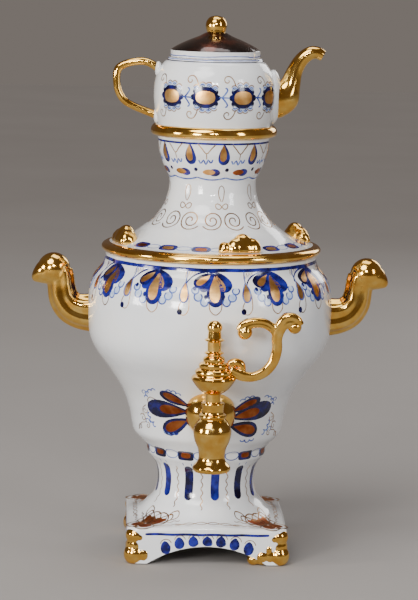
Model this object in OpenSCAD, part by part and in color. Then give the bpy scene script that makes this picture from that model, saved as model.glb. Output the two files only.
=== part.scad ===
// Porcelain samovar set: an urn on a square footed pedestal with two side handles and a turning
// tap, a lift-off crown that carries a teapot stand, and a small teapot with its own lid.
// Origin: on the table, on the axis of the urn. +Z is up, the tap is at -Y and the handles at +-X.

/* [Pedestal] */
// Height of the pedestal, from the table to the underside of the urn
pedestal_h = 80; // [74:1:86]
// Width of the square plinth
plinth_w = 118; // [110:1:124]
// Height of the plinth's side faces
plinth_h = 26; // [23:1:29]
// Corner radius of the plinth
plinth_corner_r = 9; // [6:1:12]
// Width of the arch cut in each side of the plinth
arch_w = 90; // [76:1:94]
// Height of the arch above the table
arch_h = 14; // [10:1:16]
// Height that the feet hold the plinth above the table
foot_lift = 0.8; // [0.4:0.1:1.5]

/* [Urn] */
// Largest radius of the urn
urn_r = 90.8; // [89:0.1:94]
// Height of the urn
urn_h = 144.4; // [142:0.1:150]
// Radius of the mouth
mouth_r = 71.4; // [68:0.1:72]

/* [Crown] */
// Height of the crown, from the urn's rim to the top of the teapot stand
crown_h = 95; // [94:1:100]
// Radius of the gilt ring at the crown's foot
crown_r = 81.2; // [80.4:0.2:83]
// How far the crown is turned about the axis, because it is only set down on the urn
crown_turn = 15; // [-45:1:45]

/* [Teapot] */
// Largest radius of the teapot's body
teapot_r = 44.9; // [43:0.1:46]
// Height of the teapot without its lid
teapot_h = 55.3; // [52:0.1:58]
// Radius of the teapot's mouth
teapot_mouth_r = 29.5; // [27:0.1:30]
// Height of the lid, without the knob
lid_h = 18; // [16:0.5:20]

/* [Tap] */
// Distance from the urn's axis to the tap's vertical axis
tap_y = 103; // [101:0.5:108]
// Height of the tap's water way
tap_z = 114; // [110:1:116]
// Radius of the ball that joins the tap to the urn
boss_r = 18.4; // [16:0.2:20]
// Radius of the bore through the spout of the tap
nozzle_bore_r = 3.5; // [3:0.1:4]

/* [Fits] */
// Gap between pieces that rest on each other and lift apart
rest_gap = 0.3; // [0.2:0.05:0.5]
// Gap around the lid's flange and the crown's flange
flange_gap = 0.7; // [0.5:0.1:1]
// Radial clearance of the tap's key in its seat
key_fit = 0.05; // [0.02:0.01:0.09]

/* [Hidden] */
$fn = 96;

foot_sink = 5;                  // how far a foot is pressed into the plinth
plinth_wall = 7;
urn_z = pedestal_h;
rim_z = urn_z + urn_h;
rim_r = 0.862 * urn_r;
crown_z = rim_z + rest_gap;
crown_top = crown_z + crown_h;
recess_depth = 6.5;
recess_z = crown_top - recess_depth;
teapot_z = recess_z + rest_gap;
teapot_rim_z = teapot_z + teapot_h;
lid_z = teapot_rim_z + rest_gap;
knob_z = lid_z + lid_h;
barrel_top = tap_z + 15.5;
cap_z = barrel_top + 5;
plug_top_r = 5.4;
plug_low_r = 4.4;
water_r = 1.9;
shank_r = 8.5;
shank_l = 27;

porcelain = "ghostwhite";
gilt = "goldenrod";
lustre = "saddlebrown";

// ---------------------------------------------------------------- curves

// The point i of a list, held at both ends
function held(p, i) = p[max(0, min(len(p) - 1, i))];

// A smooth curve through the points p, with n steps from each point to the next
function smooth(p, n = 5) = [
    for (i = [0 : len(p) - 2], k = [0 : n - 1])
        let (t = k / n, a = held(p, i - 1), b = p[i], c = p[i + 1], d = held(p, i + 2))
        0.5 * (2 * b + (c - a) * t + (2 * a - 5 * b + 4 * c - d) * t * t
            + (3 * b - a - 3 * c + d) * t * t * t),
    p[len(p) - 1]
];

// Share points [radius, height] scaled to a radius and a height that starts at z
function scaled(p, r, z, h) = [for (q = p) [q[0] * r, z + q[1] * h]];

// The points of a curve moved sideways by dx and dy
function moved(p, dx, dy) = [for (q = p) q + [dx, dy]];

function back(p) = [for (i = [len(p) - 1 : -1 : 0]) p[i]];

// The width of a curve [radius, height] at the height z
function radius_at(p, z) = lookup(z, [for (q = p) [q[1], q[0]]]);

// ---------------------------------------------------------------- shapes

module turned(points) {
    rotate_extrude() polygon(points);
}

// A bar along the path [x, z, radius in the plane, radius across], which lies in the XZ plane
module bar(path, sides = 16) {
    last = len(path) - 1;
    function way(i) = let (d = held(path, i + 1) - held(path, i - 1)) [d[0], d[1]] / norm([d[0], d[1]]);
    points = [
        for (i = [0 : last], k = [0 : sides - 1])
            let (p = path[i], d = way(i), a = 360 * k / sides)
            [p[0] - d[1] * p[2] * cos(a), p[3] * sin(a), p[1] + d[0] * p[2] * cos(a)]
    ];
    walls = [
        for (i = [0 : last - 1], k = [0 : sides - 1])
            let (m = (k + 1) % sides)
            [i * sides + k, i * sides + m, (i + 1) * sides + m, (i + 1) * sides + k]
    ];
    ends = [
        [for (k = [sides - 1 : -1 : 0]) k],
        [for (k = [0 : sides - 1]) last * sides + k]
    ];
    polyhedron(points, concat(walls, ends), convexity = 6);
}

// An upright square bar with rounded corners
module rounded_post(w, r, z, h) {
    inner = w - 2 * r;
    translate([0, 0, z]) linear_extrude(h) union() {
        square([w, inner], center = true);
        square([inner, w], center = true);
        for (x = [-1, 1], y = [-1, 1])
            translate([x * inner / 2, y * inner / 2]) circle(r);
    }
}

// ---------------------------------------------------------------- pedestal

// Share of the pedestal's height, radius in mm: a waisted stem that sweeps out over the plinth
stem_curve = smooth([for (q = [
    [44.8, 1], [44, 0.93], [41.4, 0.885], [38, 0.825], [36.4, 0.74], [36.2, 0.66], [37.2, 0.585],
    [39.4, 0.52], [43.6, 0.465], [49, 0.4], [56, 0.362], [66, 0.345], [88, 0.335]
]) [q[0], q[1] * pedestal_h]]);
stem_hollow = smooth([for (q = [
    [36, 1], [35.4, 0.92], [31.8, 0.83], [30.8, 0.7], [32.4, 0.56], [37, 0.44], [43, 0.34], [46.5, 0.27]
]) [q[0], q[1] * pedestal_h]]);

module pedestal() color(porcelain) {
    arch_r = (arch_w * arch_w / 4 + arch_h * arch_h) / (2 * arch_h);
    ceiling = plinth_h - 5;
    difference() {
        intersection() {
            rounded_post(plinth_w, plinth_corner_r, foot_lift, pedestal_h);
            turned(concat([[0, 0], [0, pedestal_h]], stem_curve, [[88, 0]]));
        }
        turned(concat([[0, pedestal_h + 1], [36, pedestal_h + 1]], stem_hollow, [[0, ceiling - 1]]));
        rounded_post(plinth_w - 2 * plinth_wall, 4, -1, ceiling + 1);
        for (turn = [0, 90])
            rotate([0, 0, turn]) translate([0, 0, arch_h - arch_r]) rotate([90, 0, 0])
                cylinder(r = arch_r, h = 2 * plinth_w, center = true, $fn = 180);
    }
}

// A paw that caps a corner: a knuckle over a thick heel, with a toe along one side face.
// It is made at the front right corner, and turned from there to the others.
module foot(turn) color(gilt) rotate([0, 0, turn]) {
    at = plinth_w / 2 - 6.5;
    intersection() {
        translate([at, -at, 0]) union() {
            translate([0, 0, 20.6]) sphere(7, $fn = 32);
            cylinder(r1 = 7, r2 = 5.6, h = 20, $fn = 32);
            translate([0.6, -0.6, 7]) sphere(8, $fn = 32);
            translate([-9, -1.2, 7]) sphere(6.8, $fn = 32);
            translate([-15.4, -1.8, 4.6]) sphere(4.6, $fn = 32);
        }
        difference() {
            translate([0, 0, 50]) cube([2 * plinth_w, 2 * plinth_w, 100], center = true);
            rounded_post(plinth_w - 2 * foot_sink, plinth_corner_r - foot_sink, -1, 99);
        }
    }
}

// ---------------------------------------------------------------- urn

// The urn's outline as shares of its radius and height, from the pedestal to the shoulder
urn_shares = [
    [0.495, 0], [0.545, 0.032], [0.603, 0.07], [0.624, 0.117], [0.645, 0.185], [0.704, 0.287],
    [0.81, 0.391], [0.934, 0.498], [0.987, 0.583], [1, 0.705], [0.992, 0.8], [0.962, 0.868],
    [0.93, 0.9], [0.886, 0.932], [0.866, 0.96]
];
urn_curve = smooth(scaled(urn_shares, urn_r, urn_z, urn_h));
urn_hollow = smooth([
    [0, urn_z + 8], [36, urn_z + 8.5], [47.5, urn_z + 12], [51.6, urn_z + 19], [54, urn_z + 27],
    [59.4, urn_z + 41.5], [69, urn_z + 56.6], [80.4, urn_z + 72], [85.2, urn_z + 85],
    [86.4, urn_z + 102], [85.6, urn_z + 116], [81.8, urn_z + 126.4], [76.6, urn_z + 133.2],
    [mouth_r, urn_z + 138]
]);

module urn() color(porcelain) difference() {
    turned(concat(
        [[0, urn_z]], urn_curve, [[rim_r, rim_z - 3], [rim_r, rim_z], [mouth_r, rim_z]],
        back(urn_hollow)
    ));
    translate([0, -tap_y / 2 - 10, tap_z]) rotate([90, 0, 0])
        cylinder(r = water_r, h = tap_y / 2, center = true);
}

// One swan-neck arm: out of the urn, up, and over into a rolled end with a blunt tip
arm_path = smooth([
    [87.5, 177.5, 13.6, 11], [96, 178.3, 12.6, 10.5], [103.5, 181.5, 11.6, 10],
    [108.6, 188, 10.6, 9.5], [110.6, 196, 9.8, 9], [111.4, 203, 9.6, 9], [112.6, 208.5, 9.4, 9]
], 3);
bud_path = smooth([
    [120.6, 208, 10.2, 9.8], [124.6, 206.2, 8.8, 8.6], [128.4, 204.2, 6, 6],
    [131.2, 202.6, 3.2, 3.2], [132.4, 202, 1.4, 1.4]
], 3);

roll_r = 12.2;

module handle(side) color(gilt) mirror([side < 0 ? 1 : 0, 0, 0]) {
    bar(arm_path);
    translate([116.6, 0, 210]) sphere(roll_r, $fn = 32);
    bar(bud_path);
}

// ---------------------------------------------------------------- tap

// A ball luted to the urn, flat where it sits in the urn's wall, with the water way through it
module tap_boss() color(gilt) {
    seat = -3.5;
    first = asin(seat / boss_r);
    last = acos(water_r / boss_r);
    steps = 24;
    translate([0, -radius_at(urn_curve, tap_z), tap_z]) rotate([90, 0, 0]) turned(concat(
        [[water_r, seat]],
        [for (k = [0 : steps]) let (a = first + (last - first) * k / steps) boss_r * [cos(a), sin(a)]]
    ));
}

// Outline of the barrel from its top down, as [radius, height above the water way]
barrel_curve = smooth([
    [7.6, 15.5], [8.2, 14.6], [7.8, 11], [8, 8], [9.6, 6.6], [9.8, 5], [9, 3.8],
    [11, 1.4], [13, -2.5], [13.6, -7], [12.4, -12.5], [10.2, -17.5], [9.6, -20.5]
], 4);

module tap_barrel() color(gilt) translate([0, -tap_y, tap_z]) difference() {
    union() {
        turned(concat([[0, 15.5]], barrel_curve, [[0, -20.5]]));
        rotate([-90, 0, 0]) cylinder(r = shank_r, h = shank_l);
    }
    // seat of the key, tapered, and the bore that goes on down to the nozzle
    translate([0, 0, -10]) cylinder(r1 = plug_low_r, r2 = plug_top_r, h = 25.6);
    translate([0, 0, -21]) cylinder(r = nozzle_bore_r, h = 12);
    translate([0, tap_y / 2, 0]) rotate([90, 0, 0]) cylinder(r = water_r, h = tap_y, center = true);
}

module tap_nozzle() color(gilt) translate([0, -tap_y, tap_z]) turned(concat(
    [[nozzle_bore_r, -20.5]],
    smooth([[9.6, -20.5], [9.3, -24], [10.4, -27.2], [13, -30.2], [13.6, -32.4], [12.6, -34.2]], 4),
    [[nozzle_bore_r, -34.2]]
));

// ---------------------------------------------------------------- tap key

// A tapered plug with an angled water way: in through one side, then down its middle
module key_plug() color(gilt) translate([0, -tap_y, tap_z]) difference() {
    union() {
        taper = (plug_top_r - plug_low_r) / 25.6;
        translate([0, 0, -9.5])
            cylinder(r1 = plug_low_r + 0.5 * taper - key_fit, r2 = plug_top_r - key_fit, h = 25.1);
        translate([0, 0, 15.6]) cylinder(r = plug_top_r - key_fit, h = cap_z + 1 - tap_z - 15.6);
    }
    translate([0, 0, -10]) cylinder(r = 2.2, h = 12.2);
    rotate([0, 90, 0]) cylinder(r = 2.2, h = 12, $fn = 48);
}

// Bowl, wide rim, three steps, and a shaft with two rings under a domed knob
module key_cap() color(gilt) translate([0, -tap_y, 0]) turned(concat(
    [[0, cap_z + 1]],
    smooth([[5.4, cap_z + 1], [10.6, cap_z + 4.4], [14.4, cap_z + 9.2]], 4),
    smooth([[14.9, cap_z + 10], [15.9, cap_z + 11.8], [15.2, cap_z + 13.8], [13.4, cap_z + 14.8]], 3),
    smooth([[13, cap_z + 15.4], [13.4, cap_z + 17], [12.6, cap_z + 18.6], [11, cap_z + 19.4]], 3),
    smooth([[10.5, cap_z + 20], [10.8, cap_z + 21.8], [9.8, cap_z + 23.4], [8.2, cap_z + 24]], 3),
    smooth([[7.6, cap_z + 24.6], [7.8, cap_z + 26.2], [6.8, cap_z + 27.8], [5, cap_z + 28.4]], 3),
    smooth([[5, cap_z + 29.4], [7.1, cap_z + 30.6], [5, cap_z + 32]], 3),
    smooth([[5, cap_z + 38.4], [7.2, cap_z + 39.8], [5, cap_z + 41.2]], 3),
    smooth([[4.6, cap_z + 46], [5.5, cap_z + 48], [5, cap_z + 51], [2.8, cap_z + 53.2], [0, cap_z + 53.8]], 3)
));

// Scroll handle in the XZ plane, from the key's axis: a knuckle, a C, and two curled arms
key_bow = smooth([
    [11.4, 153, 3.4, 3.4], [16.5, 150.4, 3.9, 3.8], [22, 148.6, 3.9, 3.8], [29, 148.6, 3.6, 3.8],
    [36.4, 152.2, 3.8, 3.9], [42, 159.4, 4, 4], [44.4, 168, 4, 4], [44.3, 177, 4.2, 4.2],
    [46.8, 185, 4.9, 4.8], [51.4, 189.6, 5.6, 5], [56.8, 189.2, 5, 4.8], [60, 185.4, 4, 4.2]
], 3);
key_left_arm = smooth([
    [44.5, 176, 2.8, 3], [41.4, 183, 3.6, 4], [34.6, 187, 3.8, 4], [26.6, 187, 4, 4.2],
    [20.6, 184.6, 4.4, 4.4], [18.4, 181, 4, 4.2]
], 3);
key_knuckle = smooth([[10.4, 156.8, 2.6, 3], [15, 158.6, 3, 3.2], [19.4, 156.8, 3, 3.2], [20, 151, 2.6, 3]], 3);

module key_handle() color(gilt) translate([0, -tap_y, 0]) {
    bar(key_bow, 12);
    bar(key_left_arm, 12);
    bar(key_knuckle, 12);
    translate([56.6, 0, 184.6]) sphere(5, $fn = 24);
    translate([21.4, 0, 180.2]) sphere(5.4, $fn = 24);
}

// ---------------------------------------------------------------- crown

// Outline as [radius, height above the crown's foot]: gilt ring, skirt, waist and cup
skirt_curve = concat(
    smooth([[76.6, 0], [79.4, 0.5], [crown_r, 2.6], [crown_r - 0.3, 4.8], [79, 6.4], [75.6, 7.2]], 4),
    smooth([
        [75, 7.2], [70, 8.2], [62.6, 11], [55.7, 15.2], [49.8, 19.6], [43.8, 24.2], [40.6, 28.5],
        [37.3, 33], [35.1, 37.5], [33.7, 42], [32.5, 46.4], [32, 52.8]
    ], 4)
);
skirt_hollow = smooth([
    [28, 52.8], [28.4, 46], [29.8, 40], [32, 34], [35, 28], [38.4, 22.4], [43.6, 17.4],
    [49.4, 12.8], [56, 8.6], [62, 4.5], [66, 0.5]
], 4);
flange_r = mouth_r - flange_gap;
flange_drop = 7;

module crown_skirt() color(porcelain) translate([0, 0, crown_z]) turned(concat(
    skirt_curve, skirt_hollow,
    [[66, -flange_drop], [flange_r, -flange_drop], [flange_r, 0]]
));

cup_curve = smooth([
    [32, 52.8], [32.4, 56.2], [34.6, 60.4], [37, 65.4], [38.7, 71], [40.4, 76], [41, 84.2]
], 4);
cup_ring = smooth([[41.4, 86], [45.6, 87.6], [46.6, 89.8], [46, 92.6], [44.6, 94.4], [43, crown_h]], 4);

module teapot_stand() color(porcelain) translate([0, 0, crown_z]) turned(concat(
    smooth([[0, 80], [28, 79.6], [34, 75.6], [32.4, 66], [30, 58], [28, 52.8]], 4),
    cup_curve, cup_ring,
    [[42, crown_h], [40.4, crown_h - 4.5], [38.6, crown_h - recess_depth], [0, crown_h - recess_depth]]
));

// A gilt bow: a tall rounded cap with a curl at its left end, pressed onto the skirt's slope
module stud(quarter) color(gilt) {
    radius = 67;
    rotate([0, 0, crown_turn + 90 * quarter]) translate([0, -radius, crown_z + 9.6])
        rotate([-10, 0, 0]) difference() {
            union() {
                translate([3.4, 0, 0]) scale([12.6, 8.4, 11.6]) sphere(1, $fn = 32);
                translate([-11.6, -1, 0.6]) scale([5, 5.8, 6]) sphere(1, $fn = 24);
            }
            translate([0, 0, -12.6]) cube([60, 60, 20], center = true);
        }
}

// ---------------------------------------------------------------- teapot

teapot_shares = [
    [0.82, 0], [0.872, 0.03], [0.925, 0.12], [0.967, 0.25], [0.996, 0.42], [1, 0.575],
    [0.982, 0.7], [0.94, 0.81], [0.888, 0.88], [0.835, 0.938], [0.783, 0.965]
];
teapot_curve = smooth(scaled(teapot_shares, teapot_r, teapot_z, teapot_h), 4);
teapot_hollow = smooth([
    [0, 4], [32, 4.2], [37.6, 8], [40.4, 15], [41.8, 24], [41.8, 32], [40.9, 39], [38.6, 45],
    [35, 49.6], [teapot_mouth_r, 51.6]
], 4);

module teapot_body() color(porcelain) difference() {
    turned(concat(
        [[0, teapot_z + 1.4], [31, teapot_z + 1.4], [32.4, teapot_z]],
        teapot_curve, [[34.6, teapot_rim_z]], [[teapot_mouth_r, teapot_rim_z]],
        back(moved(teapot_hollow, 0, teapot_z))
    ));
    // strainer holes behind the spout
    for (row = [-1, 0, 1], col = [-1, 0, 1])
        translate([teapot_r, col * 4.6, teapot_z + 27 + row * 4.6]) rotate([0, 90, 0])
            cylinder(r = 1.3, h = 20, center = true, $fn = 24);
}

// Spout: a swelling root that draws in to a curved neck and a cut lip
spout_path = smooth([
    [42.6, 340.6, 15.6, 10.6], [46.5, 340.8, 15.4, 10.6], [51.6, 343, 12.6, 9.4],
    [55.4, 349.6, 8, 7.4], [58.4, 359.4, 6, 6], [63, 368, 5.3, 5.6], [69, 373.2, 5, 5.4],
    [74.6, 374, 4.6, 5], [79.2, 371.8, 4, 4.4]
], 3);
spout_bore = smooth([
    [42, 340.6, 11.6, 7], [46.5, 340.8, 11.4, 7], [51.4, 343.4, 8.8, 6.2],
    [55.4, 349.8, 5, 4.6], [58.4, 359.4, 3.4, 3.4], [63, 368, 3, 3.2], [69, 373.2, 2.8, 3],
    [74.6, 374, 2.5, 2.7], [82, 370.4, 2.2, 2.4]
], 3);

module teapot_spout() color(gilt) difference() {
    bar(spout_path);
    bar(spout_bore, 12);
}

// Ear handle: a flat top, a peaked outer corner, and a long diagonal back to the body
ear_path = concat(
    smooth([[41.6, 359.6, 3, 3.4], [46.6, 363, 2.9, 3.2], [53, 365, 2.8, 3.1], [62.4, 364, 2.8, 3], [71, 360.4, 2.9, 3]], 3),
    smooth([[72.3, 357.6, 2.8, 3], [72.5, 350, 2.7, 3], [71, 342.6, 2.7, 3], [66.6, 336, 2.7, 3], [58.8, 331.6, 2.7, 3.1], [49, 327.9, 2.8, 3.2], [42.6, 325.4, 3, 3.4]], 3)
);

module teapot_handle() color(gilt) mirror([1, 0, 0]) bar(ear_path, 12);

// ---------------------------------------------------------------- teapot lid

lid_curve = concat(
    [[32.8, 0], [33.1, 4.8]],
    smooth([
        [32.6, 5.6], [29.2, 7.8], [23.8, 10.6], [17.4, 13.4], [12.4, 15.4], [9.4, 17], [7.6, lid_h]
    ], 4)
);
lid_flange_r = teapot_mouth_r - flange_gap;

module teapot_lid() color(lustre) difference() {
    translate([0, 0, lid_z]) turned(concat(
        lid_curve, [[0, lid_h]],
        smooth([[0, 13.6], [8, 12.6], [16, 9.6], [23, 5.6], [26, 2]], 4),
        [[26, -7], [lid_flange_r, -7], [lid_flange_r, 0]]
    ));
    // steam hole
    translate([0, 15, lid_z]) cylinder(r = 1.3, h = 30, $fn = 24);
}

module lid_knob() color(gilt) turned(concat(
    [[0, knob_z]],
    smooth([
        [6.6, knob_z], [7.4, knob_z + 2.6], [7.8, knob_z + 5.4], [7, knob_z + 8.8],
        [4.4, knob_z + 11.6], [0, knob_z + 12.6]
    ], 4)
));

// ---------------------------------------------------------------- the set

urn();
pedestal();
foot(-90);  // foot_front_left
foot(0);  // foot_front_right
foot(180);  // foot_back_left
foot(90);  // foot_back_right
handle(-1);  // handle_left
handle(1);  // handle_right
tap_boss();
tap_barrel();
tap_nozzle();
key_plug();
key_cap();
key_handle();
crown_skirt();
teapot_stand();
stud(0);  // stud_front
stud(1);  // stud_right
stud(2);  // stud_back
stud(3);  // stud_left
teapot_body();
teapot_spout();
teapot_handle();
teapot_lid();
lid_knob();
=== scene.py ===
"""Looks of a porcelain samovar set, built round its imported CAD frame.

The tap is at -Y and the handles at +-X. Shapes are worked out in millimetres and turned into metres
where a mesh is made. Painting is thin closed enamel, laid on the glaze it belongs to.
"""
import math
import random

import bmesh
import bpy
import numpy as np
from mathutils import Matrix, Vector

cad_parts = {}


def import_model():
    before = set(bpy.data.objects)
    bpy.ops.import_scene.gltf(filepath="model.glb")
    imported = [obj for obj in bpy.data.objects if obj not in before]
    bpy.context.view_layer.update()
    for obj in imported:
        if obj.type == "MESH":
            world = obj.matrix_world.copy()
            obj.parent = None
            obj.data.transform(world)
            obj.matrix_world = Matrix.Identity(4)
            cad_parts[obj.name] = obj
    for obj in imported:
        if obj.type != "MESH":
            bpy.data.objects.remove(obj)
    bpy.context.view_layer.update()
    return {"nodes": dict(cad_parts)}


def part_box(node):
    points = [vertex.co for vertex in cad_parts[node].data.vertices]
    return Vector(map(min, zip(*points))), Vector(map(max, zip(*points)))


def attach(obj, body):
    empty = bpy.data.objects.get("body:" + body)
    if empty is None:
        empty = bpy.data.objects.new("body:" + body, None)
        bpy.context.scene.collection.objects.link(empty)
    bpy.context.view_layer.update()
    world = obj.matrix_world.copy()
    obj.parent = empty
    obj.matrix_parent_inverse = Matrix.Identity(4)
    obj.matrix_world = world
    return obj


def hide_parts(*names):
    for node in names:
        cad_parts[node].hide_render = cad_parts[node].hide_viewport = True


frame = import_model()

MM = 0.001
SIDES = 256
# Clearance under each piece that lifts off
REST_GAP = 0.3
# Height of the key's cap above the tap's bore
CAP_LIFT = 21.5
hand = random.Random(11)

# ---- levels, from the frame

pedestal_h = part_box("pedestal")[1].z / MM
plinth_w = 2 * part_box("pedestal")[1].x / MM
urn_z = pedestal_h
rim_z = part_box("urn")[1].z / MM
urn_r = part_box("urn")[1].x / MM
urn_h = rim_z - urn_z
rim_r = 0.862 * urn_r
crown_z = rim_z + REST_GAP
crown_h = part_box("teapot_stand")[1].z / MM - crown_z
crown_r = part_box("crown_skirt")[1].x / MM
teapot_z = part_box("teapot_body")[0].z / MM
teapot_rim_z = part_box("teapot_body")[1].z / MM
teapot_h = teapot_rim_z - teapot_z
teapot_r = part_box("teapot_body")[1].x / MM
lid_z = teapot_rim_z + REST_GAP
key_low, key_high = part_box("key_cap")
tap_y = -(key_low.y + key_high.y) / 2 / MM
tap_z = key_low.z / MM - CAP_LIFT
crown_turn = 15
plinth_corner_r = 9
arch_w = 90
arch_h = 14
arch_r = (arch_w ** 2 / 4 + arch_h ** 2) / (2 * arch_h)

# ---- curves and skins


def smooth(points, steps=6):
    """A Catmull-Rom curve through rows of numbers."""
    p = np.asarray(points, float)
    last = len(p) - 1
    rows = []
    for i in range(last):
        a, b, c, d = p[max(i - 1, 0)], p[i], p[i + 1], p[min(i + 2, last)]
        for t in np.arange(steps) / steps:
            rows.append(0.5 * (2 * b + (c - a) * t + (2 * a - 5 * b + 4 * c - d) * t ** 2
                               + (3 * b - a - 3 * c + d) * t ** 3))
    rows.append(p[last])
    return np.array(rows)


def scaled(shares, r, z, h):
    return [(x * r, z + y * h) for x, y in shares]


def raised(points, z):
    return [(r, z + y) for r, y in points]


def rows_of(*columns):
    return np.stack(columns, axis=1)


def circle(sides):
    """Even angles round a circle."""
    return np.arange(sides) * 2 * math.pi / sides


def spun(x, y, angle):
    """x and y after a turn about the origin."""
    c, s = math.cos(angle), math.sin(angle)
    return c * x - s * y, s * x + c * y


def arch_top(across):
    """Height of the arch in a side of the plinth, this far from the side's middle."""
    return arch_h - arch_r + np.sqrt(np.maximum(arch_r ** 2 - across ** 2, 0))


def lengths(path):
    """Distance along a path at each of its points."""
    steps = np.linalg.norm(np.diff(path, axis=0), axis=1)
    return np.concatenate([[0], np.cumsum(steps)])


class Skin:
    """The outside of a turned piece, as (radius, height) rows from low to high."""

    def __init__(self, rows):
        self.rows = np.asarray(rows, float)
        self.along = lengths(self.rows)
        way = np.gradient(self.rows, self.along, axis=0)
        way /= np.linalg.norm(way, axis=1)[:, None]
        self.out = rows_of(way[:, 1], -way[:, 0])

    def level(self, z):
        return float(np.interp(z, self.rows[:, 1], self.along))

    def radius(self, along):
        return np.interp(along, self.along, self.rows[:, 0])

    def place(self, angle, along, lift):
        r = np.interp(along, self.along, self.rows[:, 0] + lift * self.out[:, 0])
        z = np.interp(along, self.along, self.rows[:, 1] + lift * self.out[:, 1])
        return np.stack([r * np.sin(angle), -r * np.cos(angle), z], axis=-1)


class Spot:
    """Drawing paper on a skin: x to the right and y up the profile, from one point of it."""

    def __init__(self, skin, angle, along, turn=0.0, flip=1, loose=1.0):
        self.skin = skin
        self.angle = math.radians(angle + loose * hand.uniform(-0.3, 0.3))
        self.along = along + loose * hand.uniform(-0.25, 0.25)
        self.turn = math.radians(turn + loose * hand.uniform(-2, 2))
        self.size = 1 + loose * hand.uniform(-0.03, 0.03)
        self.flip = flip

    def flat(self, xy):
        x = self.flip * self.size * xy[:, 0]
        y = self.size * xy[:, 1]
        return spun(x, y, self.turn)

    def place(self, xy, lift):
        u, v = self.flat(xy)
        along = self.along + v
        return self.skin.place(self.angle + u / self.skin.radius(along), along, lift)


class WallSpot(Spot):
    """Drawing paper on one side face of the plinth, from its middle at height z."""

    def __init__(self, side, x, z, turn=0.0, flip=1, loose=1.0):
        super().__init__(None, 0, z, turn, flip, loose)
        self.x = x
        self.side = math.radians(90 * side)

    def place(self, xy, lift):
        u, v = self.flat(xy)
        x = self.x + u
        y = -plinth_w / 2 - lift + 0 * u
        return rows_of(*spun(x, y, self.side), self.along + v)


class TopSpot(Spot):
    """Drawing paper on the plinth's flared top, seen from above; side 0 is the front."""

    def __init__(self, side, x, y, turn=0.0, flip=1, loose=1.0):
        super().__init__(None, 0, 0, turn, flip, loose)
        self.x, self.y = x, y
        self.side = math.radians(90 * side)

    def place(self, xy, lift):
        u, v = self.flat(xy)
        x, y = self.x + u, self.y + v
        return rows_of(*spun(x, y, self.side), flare_z(np.hypot(x, y)) + lift)


# ---- meshes


def new_object(name, data):
    """A new object in the scene."""
    item = bpy.data.objects.new(name, data)
    bpy.context.scene.collection.objects.link(item)
    return item


def mesh_piece(name, points, faces, material, body, slot, sharp=38):
    """A new mesh piece from points in mm, smooth except across its sharp edges."""
    mesh = bpy.data.meshes.new(name)
    mesh.from_pydata((np.asarray(points) * MM).tolist(), [], faces)
    work = bmesh.new()
    work.from_mesh(mesh)
    bmesh.ops.recalc_face_normals(work, faces=work.faces)
    work.to_mesh(mesh)
    work.free()
    mesh.shade_smooth()
    mesh.set_sharp_from_angle(angle=math.radians(sharp))
    piece = new_object(name, mesh)
    mesh.materials.append(material)
    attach(piece, body)
    return piece


def walls(a, b, sides):
    """The faces between two rings whose points start at a and b."""
    return [[a + k, a + (k + 1) % sides, b + (k + 1) % sides, b + k] for k in range(sides)]


def turned(outline, sides=SIDES):
    """Points and faces of an outline spun about Z. It closes on itself unless it ends on the axis."""
    outline = np.asarray(outline, float)
    keep = np.concatenate([[True], np.linalg.norm(np.diff(outline, axis=0), axis=1) > 1e-6])
    outline = outline[keep]
    turn = circle(sides)
    points, rings = [], []
    for r, z in outline:
        if r < 1e-6:
            rings.append([len(points)] * sides)
            points.append((0, 0, z))
            continue
        rings.append(list(range(len(points), len(points) + sides)))
        points.extend(zip(r * np.sin(turn), -r * np.cos(turn), [z] * sides))
    open_ends = outline[0][0] < 1e-6 and outline[-1][0] < 1e-6
    pairs = list(zip(rings, rings[1:])) + ([] if open_ends else [(rings[-1], rings[0])])
    faces = []
    for low, high in pairs:
        for k in range(sides):
            m = (k + 1) % sides
            face = list(dict.fromkeys([low[k], low[m], high[m], high[k]]))
            if len(face) > 2:
                faces.append(face)
    return points, faces


def turned_piece(name, outline, material, body, slot):
    points, faces = turned(outline)
    return mesh_piece(name, points, faces, material, body, slot)


def rings_to_mesh(rings, capped=True):
    """Points and faces of a stack of equal rings, with a flat fan at each end."""
    rings = np.asarray(rings, float)
    count, sides = rings.shape[:2]
    points = rings.reshape(-1, 3).tolist()
    faces = []
    for first in range(0, (count - 1) * sides, sides):
        faces += walls(first, first + sides, sides)
    if capped:
        for first in (0, (count - 1) * sides):
            middle = len(points)
            points.append(np.mean(points[first:first + sides], axis=0).tolist())
            faces += [[first + k, first + (k + 1) % sides, middle] for k in range(sides)]
    return points, faces


def swept(path, sides=32, ridges=0, depth=0.0, phase=0.0, capped=True):
    """A bar along rows of (x, z, half height in the plane, half width across it) in the XZ plane."""
    path = np.asarray(path, float)
    way = np.gradient(path[:, :2], axis=0)
    way /= np.linalg.norm(way, axis=1)[:, None]
    turn = circle(sides)
    swell = 1 + depth * np.cos(ridges * turn + phase)
    rings = []
    for (x, z, high, wide), (dx, dz) in zip(path, way):
        up = high * np.cos(turn) * swell
        rings.append(rows_of(x - dz * up, wide * np.sin(turn) * swell, z + dx * up))
    return rings_to_mesh(rings, capped)


def ball(centre, radii, turn=None, sides=28):
    """Points and faces of an ellipsoid; turn is a rotation matrix."""
    rings = 16
    levels = [(math.sin(math.pi * i / rings), -math.cos(math.pi * i / rings)) for i in range(rings + 1)]
    levels[0], levels[-1] = (0, -1), (0, 1)
    points, faces = turned(levels, sides)
    points = np.asarray(points, float) * radii
    if turn is not None:
        points = points @ np.asarray(turn).T
    return (points + centre).tolist(), faces


def joined(parts):
    """Several parts as one list of points and one of faces."""
    points, faces = [], []
    for more, ends in parts:
        start = len(points)
        points += [tuple(p) for p in more]
        faces += [[start + i for i in face] for face in ends]
    return points, faces


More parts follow.
